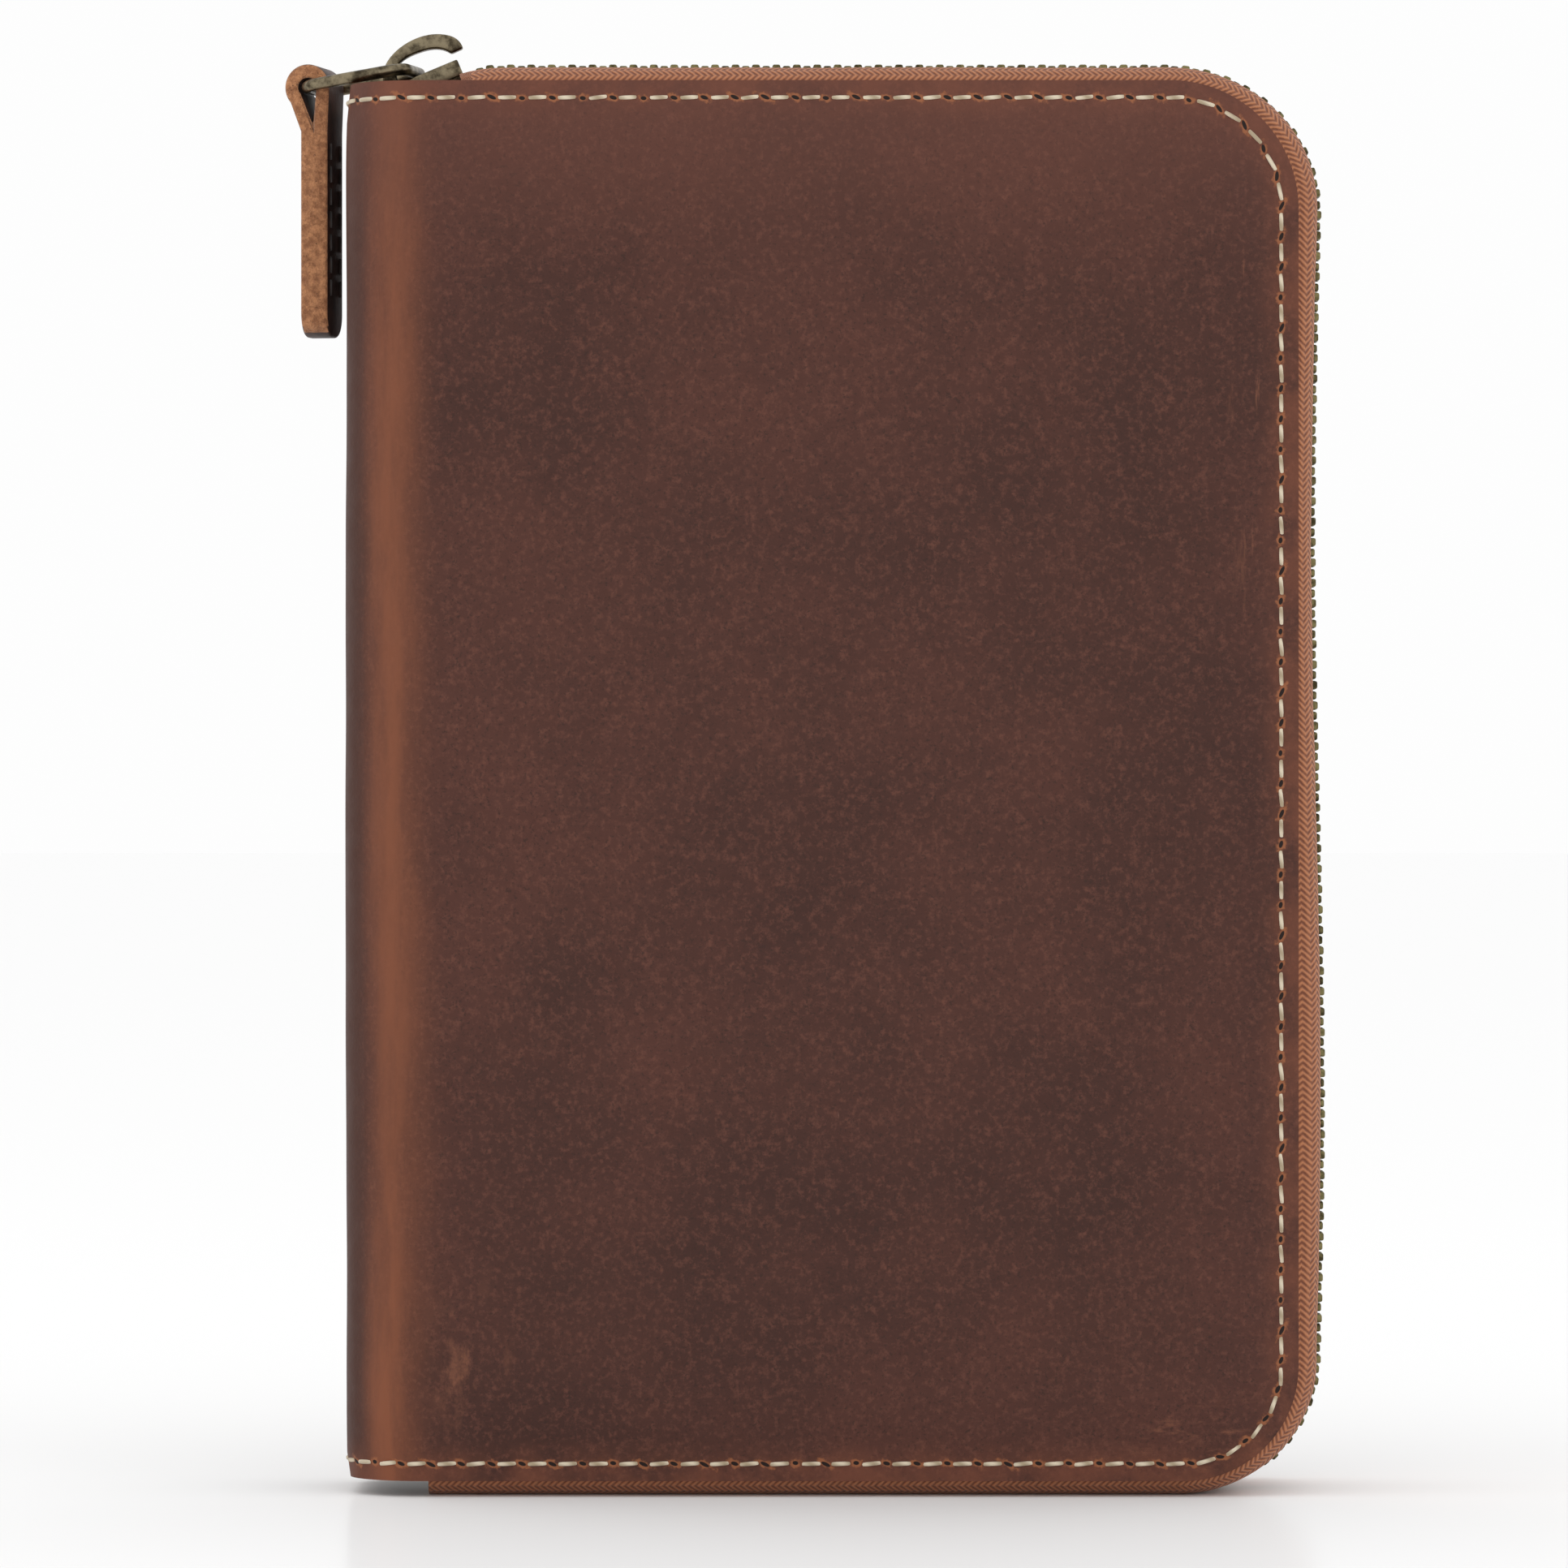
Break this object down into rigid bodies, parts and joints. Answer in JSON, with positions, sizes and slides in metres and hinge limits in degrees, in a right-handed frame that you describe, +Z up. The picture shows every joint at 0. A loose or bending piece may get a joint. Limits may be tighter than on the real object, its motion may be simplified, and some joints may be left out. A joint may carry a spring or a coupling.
{
  "type": "bible",
  "caption": "Bible in a zip-around leather case: padded covers, stitched edge, brass zip, slider with ring and folded leather pull.",
  "frame": {"origin": "on the base, at the middle of the cover's width and thickness", "axes": "+X from the spine to the fore edge, -Y the front cover, +Z up the spine"},
  "size_m": [0.1546, 0.0388, 0.2179],
  "materials": {
    "pull_up_leather": "waxed, satin",
    "zip_tape": "woven herringbone",
    "antique_brass": "antiqued",
    "cream_thread": "waxed thread",
    "dark_thread": "waxed thread",
    "foam": "open-cell foam",
    "greyboard": "pressed board",
    "lining_cloth": "plain woven",
    "book_cover": "embossed leatherette",
    "paper": "thin paper",
    "ribbon": "satin ribbon",
    "band_cloth": "woven band"
  },
  "bodies": {
    "root": {"back_cover_leather": "pull_up_leather", "spine_leather": "pull_up_leather", "back_foam_pad": "foam", "back_board": "greyboard", "back_lining": "lining_cloth", "back_sleeve": "lining_cloth", "spine_stiffener": "greyboard", "spine_lining": "lining_cloth", "back_zip_tape": "zip_tape", "back_zip_teeth": "antique_brass", "back_stitching": "cream_thread", "book_back_cover": "book_cover", "book_spine": "book_cover", "page_block": "paper", "head_band": "band_cloth", "tail_band": "band_cloth", "ribbon_marker": "ribbon", "slider_body": "antique_brass", "slider_crown": "antique_brass", "zip_end_stop": "antique_brass"},
    "front_cover": {"front_cover_leather": "pull_up_leather", "front_foam_pad": "foam", "front_board": "greyboard", "front_lining": "lining_cloth", "front_sleeve": "lining_cloth", "front_zip_tape": "zip_tape", "front_zip_teeth": "antique_brass", "front_stitching": "cream_thread", "book_front_cover": "book_cover"},
    "front_leaves": {"front_leaves": "paper"},
    "pull_ring": {"pull_ring": "antique_brass"},
    "pull_strap": {"pull_strap": "pull_up_leather", "pull_strap_stitching": "dark_thread"}
  },
  "joints": [
    {"name": "front_cover_open", "type": "hinge", "parent": "root", "child": "front_cover", "pos_m": [-0.0591, -0.019, 0.106], "axis": [0, 0, -1], "range_deg": [0, 180]},
    {"name": "front_leaves_turn", "type": "hinge", "parent": "root", "child": "front_leaves", "pos_m": [-0.0591, -0.0135, 0.106], "axis": [0, 0, -1], "range_deg": [0, 100]},
    {"name": "pull_ring_swing", "type": "hinge", "parent": "root", "child": "pull_ring", "pos_m": [-0.0612, 0, 0.21235], "axis": [0.2079, 0.9781, 0], "range_deg": [0, 150]},
    {"name": "pull_strap_swing", "type": "hinge", "parent": "pull_ring", "child": "pull_strap", "pos_m": [-0.07608, 0.00316, 0.20994], "axis": [0.2079, 0.9781, 0], "range_deg": [0, 90]}
  ],
  "couplings": [
    {"joint": "front_leaves_turn", "follows": "front_cover_open", "ratio": 0.5}
  ]
}
